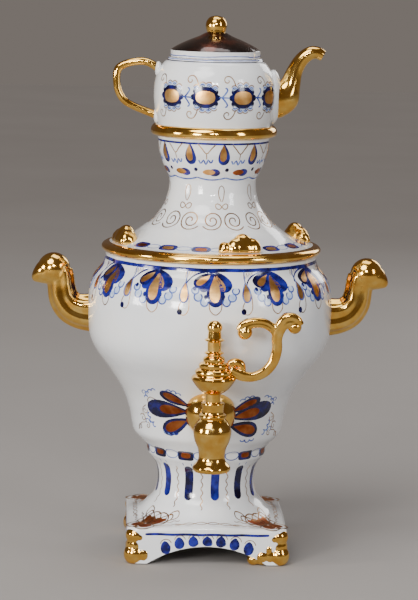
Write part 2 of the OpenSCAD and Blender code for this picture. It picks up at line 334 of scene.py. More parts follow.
def cast(name, parts, material, body, voxel, passes, slot="gilt_porcelain"):
    """Closed parts melted into one skin, the way a slip-cast piece comes out of its mould."""
    points, faces = joined(parts)
    piece = mesh_piece(name, points, faces, material, body, slot)
    remesh = piece.modifiers.new("remesh", "REMESH")
    remesh.mode = "VOXEL"
    remesh.voxel_size = voxel * MM
    soften = piece.modifiers.new("soften", "SMOOTH")
    soften.factor = 0.5
    soften.iterations = passes
    graph = bpy.context.evaluated_depsgraph_get()
    piece.data = bpy.data.meshes.new_from_object(piece.evaluated_get(graph))
    piece.modifiers.clear()
    piece.data.shade_smooth()
    return piece


def gilt_cast(node, parts, body, voxel, passes):
    """A gilt piece that takes the place of one CAD node."""
    piece = cast(node + "_gilt", parts, GILT, body, voxel, passes)
    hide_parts(node)


def mirrored(part):
    points, faces = part
    return [(-x, y, z) for x, y, z in points], faces


def moved(part, by):
    points, faces = part
    return (np.asarray(points, float) + by).tolist(), faces


# ---- materials


def new_material(name, **values):
    """A Principled material; values are set straight on the shader's sockets."""
    material = bpy.data.materials.new(name)
    material.use_nodes = True
    shader = material.node_tree.nodes["Principled BSDF"]
    for socket, value in values.items():
        shader.inputs[socket.replace("_", " ").title().replace("Ior", "IOR")].default_value = value
    return material


def noise(material, scale, detail=3.0):
    nodes, links = material.node_tree.nodes, material.node_tree.links
    place = nodes.new("ShaderNodeTexCoord")
    texture = nodes.new("ShaderNodeTexNoise")
    texture.inputs["Scale"].default_value = scale
    texture.inputs["Detail"].default_value = detail
    links.new(place.outputs["Object"], texture.inputs["Vector"])
    return texture.outputs["Fac"]


def ramp(material, factor, stops):
    node = material.node_tree.nodes.new("ShaderNodeValToRGB")
    material.node_tree.links.new(factor, node.inputs["Fac"])
    elements = node.color_ramp.elements
    while len(elements) < len(stops):
        elements.new(0.5)
    for element, (place, colour) in zip(elements, stops):
        element.position = place
        element.color = (*colour, 1)
    return node.outputs["Color"]


def feed(material, output, socket):
    """Drives one socket of the material's shader."""
    shader = material.node_tree.nodes["Principled BSDF"]
    material.node_tree.links.new(output, shader.inputs[socket])


def colour_from(material, scale, stops, detail=3.0):
    feed(material, ramp(material, noise(material, scale, detail), stops), "Base Color")


def roughness_from(material, scale, low, high):
    node = material.node_tree.nodes.new("ShaderNodeMapRange")
    node.inputs["To Min"].default_value = low
    node.inputs["To Max"].default_value = high
    material.node_tree.links.new(noise(material, scale), node.inputs["Value"])
    feed(material, node.outputs["Result"], "Roughness")


def bump_from(material, scale, height):
    node = material.node_tree.nodes.new("ShaderNodeBump")
    node.inputs["Strength"].default_value = 1
    node.inputs["Distance"].default_value = height * MM
    material.node_tree.links.new(noise(material, scale, 2), node.inputs["Height"])
    feed(material, node.outputs["Normal"], "Normal")


def glaze_material():
    material = new_material("white_glaze", coat_weight=0.6, coat_roughness=0.04, ior=1.5)
    colour_from(material, 22, [
        (0.3, (0.78, 0.81, 0.84)), (0.55, (0.83, 0.85, 0.865)), (0.75, (0.85, 0.86, 0.85))])
    roughness_from(material, 90, 0.08, 0.2)
    bump_from(material, 75, 0.35)
    return material


def enamel_material(name, stops, scale=150):
    material = new_material(name, coat_weight=0.25, coat_roughness=0.05, ior=1.45)
    colour_from(material, scale, stops, 4)
    roughness_from(material, 600, 0.08, 0.2)
    return material


def gilt_material(name, stops, roughness=(0.06, 0.17), grain=0.02, scale=160):
    material = new_material(name, metallic=1.0)
    colour_from(material, 130, stops, 4)
    roughness_from(material, scale, *roughness)
    bump_from(material, scale, grain)
    return material


def gold_paint(name, stops, roughness=(0.25, 0.45), grain=0.02):
    """Fired gold laid on with a brush, duller than the gilding."""
    return gilt_material(name, stops, roughness, grain, scale=700)


def lustre_material():
    material = new_material("dark_lustre", metallic=0.85, coat_weight=0.8, coat_roughness=0.05)
    colour_from(material, 60, [
        (0.36, (0.012, 0.006, 0.005)), (0.52, (0.04, 0.012, 0.007)), (0.7, (0.20, 0.04, 0.012))])
    roughness_from(material, 300, 0.12, 0.32)
    return material


GLAZE = glaze_material()
COBALT = enamel_material("cobalt", [
    (0.34, (0.003, 0.003, 0.04)), (0.47, (0.007, 0.008, 0.13)), (0.64, (0.015, 0.022, 0.28))])
NAVY = enamel_material("cobalt_dark", [
    (0.36, (0.002, 0.001, 0.014)), (0.5, (0.003, 0.003, 0.045)), (0.66, (0.007, 0.008, 0.12))])
WASH = enamel_material("blue_wash", [
    (0.32, (0.36, 0.46, 0.72)), (0.5, (0.52, 0.62, 0.80)), (0.68, (0.66, 0.72, 0.82))], scale=260)
LINE_BLUE = enamel_material("blue_line", [
    (0.34, (0.02, 0.035, 0.22)), (0.5, (0.06, 0.11, 0.42)), (0.66, (0.17, 0.27, 0.60))], scale=220)
GILT = gilt_material("gilt", [
    (0.32, (0.84, 0.44, 0.075)), (0.5, (0.92, 0.54, 0.11)), (0.68, (0.98, 0.65, 0.18))])
GOLD_PAINT = gold_paint("gold_paint", [
    (0.34, (0.62, 0.29, 0.08)), (0.5, (0.78, 0.42, 0.13)), (0.66, (0.88, 0.54, 0.21))], (0.22, 0.42))
COPPER = gold_paint("copper_gold", [
    (0.34, (0.26, 0.055, 0.015)), (0.5, (0.38, 0.10, 0.03)), (0.66, (0.50, 0.17, 0.05))])
AMBER = gold_paint("amber_gold", [
    (0.34, (0.50, 0.10, 0.02)), (0.5, (0.64, 0.20, 0.05)), (0.66, (0.76, 0.33, 0.10))])
PEN = gold_paint("gold_pen", [
    (0.34, (0.20, 0.09, 0.035)), (0.5, (0.34, 0.18, 0.08)), (0.66, (0.56, 0.36, 0.18))], (0.3, 0.5), 0.01)
LUSTRE = lustre_material()

# ---- painting


# How far paint reaches under the glaze, and how far each of its layers stands out
SINK = 0.25
LIFTS = {1: 0.05, 2: 0.085, 3: 0.12}
ENAMELS = {"cobalt": COBALT, "navy": NAVY, "blue_lines": LINE_BLUE, "wash": WASH}
GOLDS = {"gold": GOLD_PAINT, "copper": COPPER, "amber": AMBER, "pen": PEN}


class Paint:
    """All the enamel of one colour on one body: thin closed sheets that follow the surface."""

    def __init__(self, part, tone, body):
        self.name, self.body = f"{part}_{tone}", body
        self.material = (ENAMELS | GOLDS)[tone]
        self.slot = "gilt_porcelain" if tone in GOLDS else "porcelain"
        self.points, self.faces, self.count = [], [], 0

    def add(self, spot, shape, layer):
        flat, faces, border = shape
        size = len(flat)
        start = self.count
        self.points.append(spot.place(flat, LIFTS[layer]))
        self.points.append(spot.place(flat, -SINK))
        self.count += 2 * size
        for face in faces:
            self.faces.append([start + i for i in face])
            self.faces.append([start + size + i for i in reversed(face)])
        for a, b in zip(border, border[1:] + border[:1]):
            self.faces.append([start + b, start + a, start + size + a, start + size + b])

    def fill(self, spot, outline, layer):
        self.add(spot, disc(outline), layer)

    def draw(self, spot, path, half, layer=1, step=1.3):
        self.add(spot, ribbon(path, half, step), layer)

    def finish(self):
        return mesh_piece(self.name, np.concatenate(self.points), self.faces,
                          self.material, self.body, self.slot, sharp=50)


def paints(part, body, *tones):
    return [Paint(part, tone, body) for tone in tones]


def ribbon(path, half, step):
    """A brush or pen line with round ends; half is its half width, or one for each point."""
    path = np.asarray(path, float)
    far = lengths(path)
    total = far[-1]
    half = np.full(len(path), float(half)) if np.isscalar(half) else np.asarray(half, float)
    tips = max(0.15, min(half.max(), total / 3))
    ticks = np.concatenate([np.linspace(0, total, max(4, int(total / step) + 1)),
                            [tips * 0.12, tips * 0.45, total - tips * 0.12, total - tips * 0.45]])
    ticks = np.unique(np.round(ticks, 4))
    middle = rows_of(np.interp(ticks, far, path[:, 0]), np.interp(ticks, far, path[:, 1]))
    way = np.gradient(middle, ticks, axis=0)
    way /= np.linalg.norm(way, axis=1)[:, None] + 1e-9
    end = np.clip(np.minimum(ticks, total - ticks) / tips, 0.04, 1)
    width = np.interp(ticks, far, half) * np.sqrt(1 - (1 - end) ** 2)
    cols = 3 if half.max() < 1.3 else 5
    across = np.linspace(-1, 1, cols)
    side = rows_of(-way[:, 1], way[:, 0]) * width[:, None]
    flat = (middle[:, None] + side[:, None] * across[None, :, None]).reshape(-1, 2)
    rows = len(ticks)
    faces = [[i * cols + j, i * cols + j + 1, (i + 1) * cols + j + 1, (i + 1) * cols + j]
             for i in range(rows - 1) for j in range(cols - 1)]
    border = list(range(cols))
    border += [i * cols + cols - 1 for i in range(1, rows)]
    border += [(rows - 1) * cols + j for j in range(cols - 2, -1, -1)]
    border += [i * cols for i in range(rows - 2, 0, -1)]
    return flat, faces, border


def evened(outline, step):
    """A closed outline with extra points wherever two of them are further apart than step."""
    outline = np.asarray(outline, float)
    points = []
    for a, b in zip(outline, np.roll(outline, -1, axis=0)):
        parts = max(1, int(math.ceil(np.linalg.norm(b - a) / step)))
        points += [a + (b - a) * k / parts for k in range(parts)]
    return np.array(points)


def disc(outline):
    """A filled shape, its outline drawn in to its middle in rings."""
    step = 1.4
    outline = evened(outline, step)
    sides = len(outline)
    middle = outline.mean(axis=0)
    reach = np.linalg.norm(outline - middle, axis=1).max()
    rings = max(1, int(round(reach / step)))
    flat = [middle]
    for k in range(1, rings + 1):
        flat.extend(middle + (outline - middle) * k / rings)
    faces = [[0, 1 + k, 1 + (k + 1) % sides] for k in range(sides)]
    for ring in range(rings - 1):
        a, b = 1 + ring * sides, 1 + (ring + 1) * sides
        faces += [[a + k, b + k, b + (k + 1) % sides, a + (k + 1) % sides] for k in range(sides)]
    border = [1 + (rings - 1) * sides + k for k in range(sides)]
    return np.array(flat), faces, border


def drop(length, width, neck=1.1, at=(0, 0), sides=26):
    """A drop that hangs from a point: narrow above, round below."""
    a = circle(sides)
    x = np.sin(a) * np.abs(np.sin(a / 2)) ** neck
    x *= width / 2 / x.max()
    y = -length * (1 - np.cos(a)) / 2
    return rows_of(x + at[0], y + at[1])


def leaf(length, width, at=(0, 0), sides=22):
    a = circle(sides)
    x = width / 2 * np.sin(a) * np.abs(np.sin(a)) ** 0.35
    return rows_of(x + at[0], at[1] - length * (1 - np.cos(a)) / 2)


def oval(width, height, at=(0, 0), square=2.0, sides=24):
    """An ellipse, or a rounded rectangle as square grows past 2."""
    a = circle(sides)
    x = np.sign(np.cos(a)) * np.abs(np.cos(a)) ** (2 / square) * width / 2
    y = np.sign(np.sin(a)) * np.abs(np.sin(a)) ** (2 / square) * height / 2
    return rows_of(x + at[0], y + at[1])


# Stretches a shape away from the front edge of the plinth's top
DEEP = np.array([[1], [1.9]])
# A quarter turn that lays a leaf along +X
SIDEWAYS = np.array([[0, -1], [-1, 0]])


def ringed(outline):
    """The same outline as a closed path for a pen."""
    return np.concatenate([outline, outline[:1], outline[1:2]])


def spiral(turns, size, start=0.0, sides=18):
    """A curl from its outer end in to its middle."""
    count = int(turns * sides)
    t = np.linspace(0, 1, count + 1)
    a = start + t * turns * 2 * math.pi
    r = size * (1 - 0.86 * t)
    return rows_of(r * np.cos(a), r * np.sin(a))


def wavy(length, swing, waves):
    """A line that hangs down and wavers."""
    t = np.linspace(0, 1, int(waves * 8) + 1)
    return rows_of(swing * np.sin(2 * math.pi * waves * t), -length * t)


def arc(centre, radius, start, end, count=10):
    a = np.radians(np.linspace(start, end, count))
    return rows_of(centre[0] + radius * np.cos(a), centre[1] + radius * np.sin(a))


def scallops(points, radius, start, end):
    """A chain of small arcs, one round each point, as one pen line."""
    return np.concatenate([arc(p, radius, start, end, 7) for p in points])


# ---- skins

stem_rows = smooth([(r, h * pedestal_h) for r, h in [
    (66, 0.345), (56, 0.362), (49, 0.4), (43.6, 0.465), (39.4, 0.52), (37.2, 0.585), (36.2, 0.66),
    (36.4, 0.74), (38, 0.825), (41.4, 0.885), (44, 0.93), (44.8, 1)]])
stem_skin = Skin(stem_rows)
flare_rows = smooth([(r, h * pedestal_h) for r, h in [
    (43.6, 0.465), (49, 0.4), (56, 0.362), (66, 0.345), (88, 0.335)]])


def flare_z(r):
    return np.interp(r, flare_rows[:, 0], flare_rows[:, 1])


urn_rows = smooth(scaled([
    (0.495, 0), (0.545, 0.032), (0.603, 0.07), (0.624, 0.117), (0.645, 0.185), (0.704, 0.287),
    (0.81, 0.391), (0.934, 0.498), (0.987, 0.583), (1, 0.705), (0.992, 0.8), (0.962, 0.868),
    (0.93, 0.9), (0.886, 0.932), (0.866, 0.96)], urn_r, urn_z, urn_h), 10)
urn_skin = Skin(np.concatenate([urn_rows, [(rim_r, rim_z - 3), (rim_r, rim_z - 0.5)]]))
waist_skin = Skin(np.concatenate([stem_rows[:-1], urn_rows[urn_rows[:, 1] < urn_z + 20]]))

ring_rows = smooth(raised([
    (76.6, 0), (79.4, 0.5), (crown_r, 2.6), (crown_r - 0.3, 4.8), (79, 6.4), (75.6, 7.2)], crown_z), 8)
skirt_rows = smooth(raised([
    (75, 7.2), (70, 8.2), (62.6, 11), (55.7, 15.2), (49.8, 19.6), (43.8, 24.2), (40.6, 28.5),
    (37.3, 33), (35.1, 37.5), (33.7, 42), (32.5, 46.4), (32, 52.8)], crown_z), 8)
skirt_skin = Skin(skirt_rows)
cup_rows = smooth(raised([
    (32, 52.8), (32.4, 56.2), (34.6, 60.4), (37, 65.4), (38.7, 71), (40.4, 76), (41, 84.2)], crown_z), 8)
cup_skin = Skin(np.concatenate([skirt_rows[-20:-1], cup_rows]))
cup_ring_rows = smooth(raised([
    (41.4, 86), (45.6, 87.6), (46.6, 89.8), (46, 92.6), (44.6, 94.4), (43, crown_h)], crown_z), 8)

teapot_rows = smooth(scaled([
    (0.82, 0), (0.872, 0.03), (0.925, 0.12), (0.967, 0.25), (0.996, 0.42), (1, 0.575), (0.982, 0.7),
    (0.94, 0.81), (0.888, 0.88), (0.835, 0.938), (0.783, 0.965)], teapot_r, teapot_z, teapot_h), 10)
teapot_skin = Skin(np.concatenate([teapot_rows, [(34.6, teapot_rim_z)]]))

# ---- porcelain bodies


def urn_piece():
    mouth_r = 71.4
    hollow = smooth(raised([
        (0, 8), (36, 8.5), (47.5, 12), (51.6, 19), (54, 27), (59.4, 41.5), (69, 56.6), (80.4, 72),
        (85.2, 85), (86.4, 102), (85.6, 116), (81.8, 126.4), (76.6, 133.2), (mouth_r, 138)], urn_z))
    rim = raised([
        (rim_r, -3), (rim_r, -0.5), (rim_r - 0.5, 0), (mouth_r + 0.5, 0), (mouth_r, -0.5)], rim_z)
    outline = np.concatenate([[(0, urn_z)], urn_rows, rim, hollow[::-1]])
    piece = turned_piece("urn_glaze", outline, GLAZE, "urn_base", "porcelain")
    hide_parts("urn")


def square_reach(turn, half, corner):
    """Distance from the axis to a rounded square, in each direction turn."""
    x, y = np.abs(np.sin(turn)), np.abs(np.cos(turn))
    flat = half / np.maximum(x, y)
    inner = half - corner
    along = inner * (x + y)
    round_part = along + np.sqrt(np.maximum(along ** 2 - 2 * inner ** 2 + corner ** 2, 0))
    in_corner = np.minimum(x, y) * flat > inner
    return np.where(in_corner, round_part, flat)


def pedestal_piece():
    """Round stem lofted into the square plinth, hollow underneath, with an arch in each side."""
    sides = 480
    turn = circle(sides)
    wall = 7
    ceiling = 21
    foot_z = 0.8
    fillet = 3.0
    outer = square_reach(turn, plinth_w / 2, plinth_corner_r)
    inner = square_reach(turn, plinth_w / 2 - wall, 4)
    across = np.minimum(np.abs(outer * np.sin(turn)), np.abs(outer * np.cos(turn)))
    bottom = np.maximum(foot_z, arch_top(across))

    def ring(r, z):
        return rows_of(r * np.sin(turn), -r * np.cos(turn), z + 0 * turn)

    hollow = smooth([(r, h * pedestal_h) for r, h in [
        (36, 1), (35.4, 0.92), (31.8, 0.83), (30.8, 0.7), (32.4, 0.56), (37, 0.44), (43, 0.34),
        (46.5, 0.27)]], 4)
    rings = [ring(r, z) for r, z in hollow[::-1]]
    stem = [(r, z) for r, z in stem_skin.rows if r < 52][::-1]
    rings += [ring(r, z) for r, z in stem]
    first = stem[-1][0]
    edge = outer - fillet
    for share in np.linspace(0, 1, 10)[1:]:
        r = first + share * (edge - first)
        rings.append(ring(r, flare_z(r)))
    for a in np.radians(np.linspace(0, 90, 8))[1:]:
        rings.append(ring(edge + fillet * math.sin(a), flare_z(edge) - fillet * (1 - math.cos(a))))
    top = flare_z(edge) - fillet
    for share in np.linspace(0, 1, 8)[1:]:
        rings.append(ring(outer, top + share * (bottom - top)))
    rings += [ring(inner, bottom), ring(inner, ceiling), ring(47, ceiling)]
    points, faces = rings_to_mesh(rings, capped=False)
    faces += walls((len(rings) - 1) * sides, 0, sides)
    piece = mesh_piece("pedestal_glaze", points, faces, GLAZE, "urn_base", "porcelain", sharp=45)
    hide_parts("pedestal")


def band(name, rows, body):
    """Gilding over part of a profile, as a thin closed band."""
    proud, sunk = 0.12, 0.5
    skin = Skin(rows)
    outline = np.concatenate([skin.rows + skin.out * proud, (skin.rows - skin.out * sunk)[::-1]])
    return turned_piece(name, outline, GILT, body, "gilt_porcelain")


def crown_pieces():
    hollow = smooth(raised([
        (28, 52.8), (28.4, 46), (29.8, 40), (32, 34), (35, 28), (38.4, 22.4), (43.6, 17.4),
        (49.4, 12.8), (56, 8.6), (62, 4.5), (66, 0.5)], crown_z))
    dome = smooth(raised([(0, 80), (28, 79.6), (34, 75.6), (32.4, 66), (30, 58), (28, 52.8)], crown_z))
    recess = raised([(42, 0), (40.4, -4.5), (38.6, -6.5), (0, -6.5)], crown_z + crown_h)
    flange = raised([(66, -7), (70.7, -7), (70.7, 0)], crown_z)
    outline = np.concatenate([
        dome[:-1], hollow, flange, ring_rows, skirt_rows, cup_rows, cup_ring_rows, recess])
    piece = turned_piece("crown_glaze", outline, GLAZE, "crown", "porcelain")
    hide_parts("crown_skirt", "teapot_stand")
    band("crown_ring_gilt", ring_rows, "crown")
    band("stand_ring_gilt", cup_ring_rows, "crown")


def teapot_piece():
    hollow = smooth(raised([
        (0, 4), (32, 4.2), (37.6, 8), (40.4, 15), (41.8, 24), (41.8, 32), (40.9, 39), (38.6, 45),
        (35, 49.6), (29.5, 51.6)], teapot_z))
    foot = raised([(0, 1.4), (31, 1.4), (32.4, 0)], teapot_z)
    rim = raised([(34.6, -0.3), (34.3, 0), (29.8, 0), (29.5, -0.3)], teapot_rim_z)
    outline = np.concatenate([foot, teapot_rows, rim, hollow[::-1]])
    piece = turned_piece("teapot_glaze", outline, GLAZE, "teapot", "porcelain")
    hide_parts("teapot_body")


urn_piece()
pedestal_piece()
crown_pieces()
teapot_piece()

# ---- gilt pieces


def turn_z(degrees):
    return np.array(Matrix.Rotation(math.radians(degrees), 3, "Z"))


def foot_piece(name, turn):
    """A paw that caps a corner: a knuckle over a thick heel, with a toe along one side face."""
    at = plinth_w / 2 - 6.5
    parts = [
        ball((0, 0, 20.8), (7.4, 7.4, 6.8)),
        ball((-3, 0, 20), (6.6, 7, 6.2)), ball((0, 3, 20), (7, 6.6, 6.2)),
        ball((0, 0, 13.4), (7, 7, 8)),
        ball((0.6, -0.6, 6.8), (8, 8, 8.4)),
        ball((-6, -0.2, 7), (6.6, 7.4, 8)), ball((0.2, 6, 7), (7.4, 6.6, 8)),
        ball((-7, -0.6, 12), (4.6, 6.8, 6.6)),
        ball((-12, -0.8, 6.6), (6.6, 7, 7)), ball((-18, -1.2, 4.2), (5, 5.6, 4.6)),
    ]
    points, faces = joined(parts)
    placed = [(at + x, y - at, max(z, 0.0)) for x, y, z in points] @ turn_z(turn).T
    gilt_cast(name, [(placed, faces)], "urn_base", voxel=0.6, passes=8)


def handle_piece(name, side):
    """A fluted swan-neck arm that rolls over into a hood with a blunt bud."""
    arm = smooth([
        (87.5, 97.5, 13.6, 11), (96, 98.3, 12.6, 10.5), (103.5, 101.5, 11.6, 10),
        (108.6, 108, 10.6, 9.5), (110.6, 116, 9.8, 9), (111.4, 123, 9.6, 9), (112.6, 128.5, 9.4, 9)])
    bud = smooth([
        (120.6, 128, 10.2, 9.8), (124.6, 126.2, 8.8, 8.6), (128.4, 124.2, 6, 6),
        (131.2, 122.6, 3.2, 3.2), (132.4, 122, 1.4, 1.4)])
    parts = [
        swept(arm, 72, ridges=6, depth=0.07),
        ball((116.6, 0, 130), (12.2, 11, 12.2), sides=48),
        swept(bud, 48),
    ]
    parts = [moved(part, (0, 0, urn_z)) for part in parts]
    if side < 0:
        parts = [mirrored(part) for part in parts]
    gilt_cast(name, parts, "urn_base", voxel=0.6, passes=5)


def key_handle_piece():
    """Two fluted scrolls that part like a Y, over a small knuckle at the cap."""
    bow = smooth([
        (11.4, 39, 3.4, 3.4), (16.5, 36.4, 3.9, 3.8), (22, 34.6, 3.9, 3.8), (29, 34.6, 3.6, 3.8),
        (36.4, 38.2, 3.8, 3.9), (42, 45.4, 4, 4), (44.4, 54, 4, 4), (44.3, 63, 4.2, 4.2),
        (46.8, 71, 4.9, 4.8), (51.4, 75.6, 5.6, 5), (56.8, 75.2, 5, 4.8), (60, 71.4, 4, 4.2)])
    left = smooth([
        (44.5, 62, 2.8, 3), (41.4, 69, 3.6, 4), (34.6, 73, 3.8, 4), (26.6, 73, 4, 4.2),
        (20.6, 70.6, 4.4, 4.4), (18.4, 67, 4, 4.2)])
    knuckle = smooth([(10.4, 42.8, 2.6, 3), (15, 44.6, 3, 3.2), (19.4, 42.8, 3, 3.2), (20, 37, 2.6, 3)])
    parts = [
        swept(bow, 48, ridges=4, depth=0.1, phase=math.pi),
        swept(left, 48, ridges=4, depth=0.1, phase=math.pi),
        swept(knuckle, 32),
        ball((56.6, 0, 70.6), 5),
        ball((21.4, 0, 66.2), 5.4),
    ]
    parts = [moved(part, (0, -tap_y, tap_z)) for part in parts]
    gilt_cast("key_handle", parts, "tap_key", voxel=0.45, passes=4)


def stud_piece(name, quarter):
    """A rococo bow: a tall cap with soft ridges from its peak, and a curl at its left end."""
    parts = [
        ball((3.6, 0, 0), (12.6, 8.4, 9.6), sides=40),
        ball((2.8, -0.4, 1), (8.6, 7.4, 10.8), sides=40),
        ball((-2.4, -2.4, 0), (7.4, 5.8, 8.6), turn_z(14)),
        ball((9, -1.8, 0), (7.4, 5.8, 8.4), turn_z(-14)),
        ball((-11.4, -1.4, 1.2), (4.2, 5, 4.8)),
        ball((-13.6, -2.6, -1), (2.6, 3.6, 3.4)),
    ]
    points, faces = joined(parts)
    points = np.asarray(points)
    points[:, 2] = np.maximum(points[:, 2], -2.6)
    tilt = np.array(Matrix.Rotation(math.radians(-10), 3, "X"))
    spin = turn_z(crown_turn + 90 * quarter)
    placed = points @ tilt.T + (0, -67, crown_z + 9.6)
    placed = placed @ spin.T
    gilt_cast(name, [(placed, faces)], "crown", voxel=0.55, passes=30)


def spout_piece():
    """An open bent tube, wide at its root and thin at its lip."""
    sides = 48
    path = smooth([
        (42.6, 27.1, 15.6, 10.6), (46.5, 27.3, 15.4, 10.6), (51.6, 29.5, 12.6, 9.4),
        (55.4, 36.1, 8, 7.4), (58.4, 45.9, 6, 6), (63, 54.5, 5.3, 5.6), (69, 59.7, 5, 5.4),
        (74.6, 60.5, 4.6, 5), (79.2, 58.3, 4, 4.4)], 8)
    bore = path.copy()
    bore[:, 2:] -= np.interp(path[:, 0], [42, 58, 80], [4, 2.6, 1.9])[:, None]
    outer = swept(path, sides, capped=False)
    count = len(outer[0])
    tube = joined([outer, swept(bore, sides, capped=False)])
    points, faces = moved(tube, (0, 0, teapot_z))
    for end in (count - sides, 0):
        faces += walls(end, count + end, sides)
    piece = mesh_piece("teapot_spout_gilt", points, faces, GILT, "teapot", "gilt_porcelain", sharp=60)
    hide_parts("teapot_spout")


def ear_piece():
    ear = smooth([
        (41.6, 46.1, 3, 3.4), (46.6, 49.5, 2.9, 3.2), (53, 51.5, 2.8, 3.1), (62.4, 50.5, 2.8, 3),
        (69.4, 47.7, 2.9, 3), (72.2, 43.9, 2.9, 3), (72.5, 36.5, 2.7, 3), (71, 29.1, 2.7, 3),
        (66.6, 22.5, 2.7, 3), (58.8, 18.1, 2.7, 3.1), (49, 14.4, 2.8, 3.2), (42.6, 11.9, 3, 3.4)])
    part = mirrored(moved(swept(ear, 40), (0, 0, teapot_z)))
    gilt_cast("teapot_handle", [part], "teapot", voxel=0.4, passes=3)


for corner, turn in (("front_left", -90), ("front_right", 0), ("back_left", 180), ("back_right", 90)):
    foot_piece("foot_" + corner, turn)
handle_piece("handle_left", -1)
handle_piece("handle_right", 1)
key_handle_piece()
for index, stud in enumerate(("stud_front", "stud_right", "stud_back", "stud_left")):
    stud_piece(stud, index)
spout_piece()
ear_piece()

for node, object_ in frame["nodes"].items():
    object_.data.materials.clear()
    object_.data.materials.append(LUSTRE if node == "teapot_lid" else GILT)

# ---- painting on the urn


def urn_painting():
    """Palmettes and hanging drops under the rim, then the tap's flower, the stem and the plinth."""
    cobalt, navy, line, pale = paints("urn", "urn_base", "cobalt", "navy", "blue_lines", "wash")
    gold, copper, pen = paints("urn", "urn_base", "gold", "copper", "pen")
    amber = Paint("plinth", "amber", "urn_base")
    high = urn_skin.level(rim_z - 4.4)

    rim_line = urn_skin.level(rim_z - 3.6)
    for quarter in range(4):
        spot = Spot(urn_skin, 90 * quarter, rim_line, loose=0)
        reach = urn_skin.radius(rim_line) * math.pi / 4
        x = np.linspace(-reach - 0.5, reach + 0.5, 40)
        y = 0.15 * np.sin(x * 0.21 + quarter) * np.cos(x / reach * math.pi / 2)
        cobalt.draw(spot, rows_of(x, y), 1.3, step=2)

    for k in range(12):
        angle = 30 * k
        spot = Spot(urn_skin, angle, high)
        for paint, turn, petal, layer in (
                (navy, -48, drop(19, 10.4), 1), (gold, -48, drop(13, 5, at=(0.2, -3.6)), 2),
                (cobalt, -30, drop(19, 8), 1), (cobalt, 32, drop(19.4, 12, 0.8), 1),
                (gold, 22, drop(14, 5, at=(-0.6, -3)), 2)):
            paint.fill(Spot(urn_skin, angle, high, turn), petal, layer)
        cobalt.fill(spot, drop(27.6, 13, 1.2), 2)
        gold.fill(spot, drop(21, 7.6, 1.2, at=(-0.4, -3.4)), 3)
        for x, y, r in ((-14.4, -15.6, 2.6), (-12.4, -20.4, 2.9), (-8, -24.2, 2.7), (7.8, -24.2, 2.7),
                        (12, -20.8, 2.9), (14.6, -16, 2.6)):
            pale.fill(spot, oval(2 * r, 2 * r, at=(x, y)), 1)
            line.draw(spot, arc((x, y), r, 128, 412, 18), 0.52, 2)
        for x, y in ((-7, -20.4), (5.6, -20), (-14.8, -14)):
            cobalt.fill(spot, oval(2.6, 3.4, at=(x, y)), 2)
        pen.draw(spot, smooth([(-4.6, -25), (-3.8, -30), (0, -33), (3.8, -30), (4.6, -25)]), 0.36)
        sweep = smooth([(-1, -0.4), (-8, -0.8), (-14, -2.8), (-18.4, -6.4), (-21.4, -11)])
        cobalt.draw(spot, sweep, np.linspace(0.75, 0.4, len(sweep)), 1)
        for slant in (-1, 1):
            for step in range(4):
                x = -20.6 + 2.1 * step
                reach = 4.6 - step
                pen.draw(spot, [(x, -0.6), (x + 0.8 * slant, -0.6 - reach)], 0.16)
        hang = Spot(urn_skin, angle + 15.6, high)
        line.draw(hang, [(0, 0.4), (0.1, -5), (0, -10.4)], 0.4)
        line.fill(hang, drop(16.8, 7.4, 1.2, at=(0, -8.2)), 1)
        gold.fill(hang, drop(14.4, 5.2, 1.2, at=(0, -9.6)), 2)
        loop = [(-1.6, -24), (-3.4, -28), (-2.6, -32.4), (1, -33.6), (3.8, -30), (4, -24), (3.4, -18)]
        pen.draw(hang, smooth(loop), 0.34)
        navy.fill(hang, oval(3.8, 4.4, at=(-2.6, -31.4)), 2)

    for front in (0, 180):
        flower(cobalt, navy, line, copper, pen, front)
    stem_painting(cobalt, navy, line, copper, pen)
    plinth_painting(cobalt, navy, line, amber, pen)
    for paint in (cobalt, navy, line, pale, gold, copper, amber, pen):
        paint.finish()


def flower(cobalt, navy, line, copper, pen, front):
    """Three petals and thin flourishes on each side of the tap, and the same at the back."""
    root = 13.5 if front == 0 else 6
    for side, height, turns in ((-1, tap_z, (117, 92, 63)), (1, tap_z - 4.5, (117, 103, 76))):
        angle = front + side * root
        level = urn_skin.level(height)
        petals = (
            (4.5, drop(26, 9.8, 1.1), drop(20, 5.8, 1.1, at=(0, -3)), 1),
            (0, drop(37, 15, 1.1), drop(21, 7.6, 1.0, at=(0, -4)), 2),
            (-5.5, drop(25, 12.4, 1.0), drop(18.4, 7.4, 1.0, at=(0, -4)), 1))
        for turn, (shift, petal, heart, layer) in zip(turns, petals):
            for paint, shape, above in ((navy, petal, 0), (copper, heart, 1)):
                place = Spot(urn_skin, angle, level + shift, side * turn, flip=side, loose=0.4)
                paint.fill(place, shape, layer + above)
        spot = Spot(urn_skin, angle, level, loose=0, flip=side)
        humps = (
            [(29, 16.4), (32.4, 15), (35.6, 12.4), (37, 8.6)], [(8.6, 14.6), (12, 16.6), (16, 17.2)],
            [(35.4, -6), (33.6, -10), (30.4, -13)], [(20, -17), (16, -18), (12, -17)])
        for chain, (start, end) in zip(humps, ((170, -10), (190, 10), (80, -120), (0, -170))):
            line.draw(spot, scallops(chain, 2, start, end), 0.54)
        for x, y in ((39, 14), (38.6, -11)):
            line.draw(spot, smooth([(x - 4, y - 2), (x - 1, y + 1.4), (x + 1.6, y), (x, y - 2.4)]), 0.38)
        far = Spot(urn_skin, angle + side * 30, level, flip=side, loose=0.5)
        pen.draw(far, smooth([(-6, 8), (-1, 9.6), (3, 6), (1.4, 1), (-2, 2)]), 0.34)
        for x, y, size in ((9, -3, 3), (13, -9.6, 3.6), (8, -15, 2.6), (18, -17.6, 3)):
            pen.draw(far, spiral(1.2, size, start=x) + (x, y), 0.34)
        pen.draw(far, smooth([(6, 2), (12, -3), (10, -12), (16, -14), (22, -20)]), 0.3)


